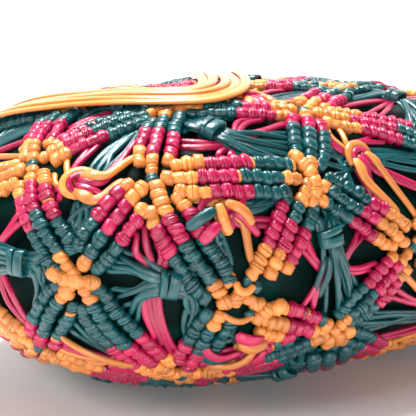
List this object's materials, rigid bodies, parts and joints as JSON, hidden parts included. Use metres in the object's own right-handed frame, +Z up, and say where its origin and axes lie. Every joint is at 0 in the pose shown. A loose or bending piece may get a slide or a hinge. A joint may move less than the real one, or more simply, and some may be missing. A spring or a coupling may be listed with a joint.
{
  "type": "macrame handbag",
  "caption": "Plump handbag of knotted macrame laces over a satin lining, lying on its side wall with its flat lace handle over the top.",
  "frame": {"origin": "middle of the bag's plan, on the surface that it lies on", "axes": "+Z up, +X along the bag's length, +Y towards the mouth"},
  "size_m": [0.3277, 0.2209, 0.1479],
  "materials": {
    "lace_teal": "satin",
    "lace_magenta": "satin",
    "lace_orange": "satin",
    "lining_satin": "satin"
  },
  "bodies": {
    "root": {"macrame_body": "lace_teal", "macrame_base": "lace_magenta", "rim_binding": "lace_orange", "handle": "lace_orange", "lining": "lining_satin"}
  },
  "joints": []
}
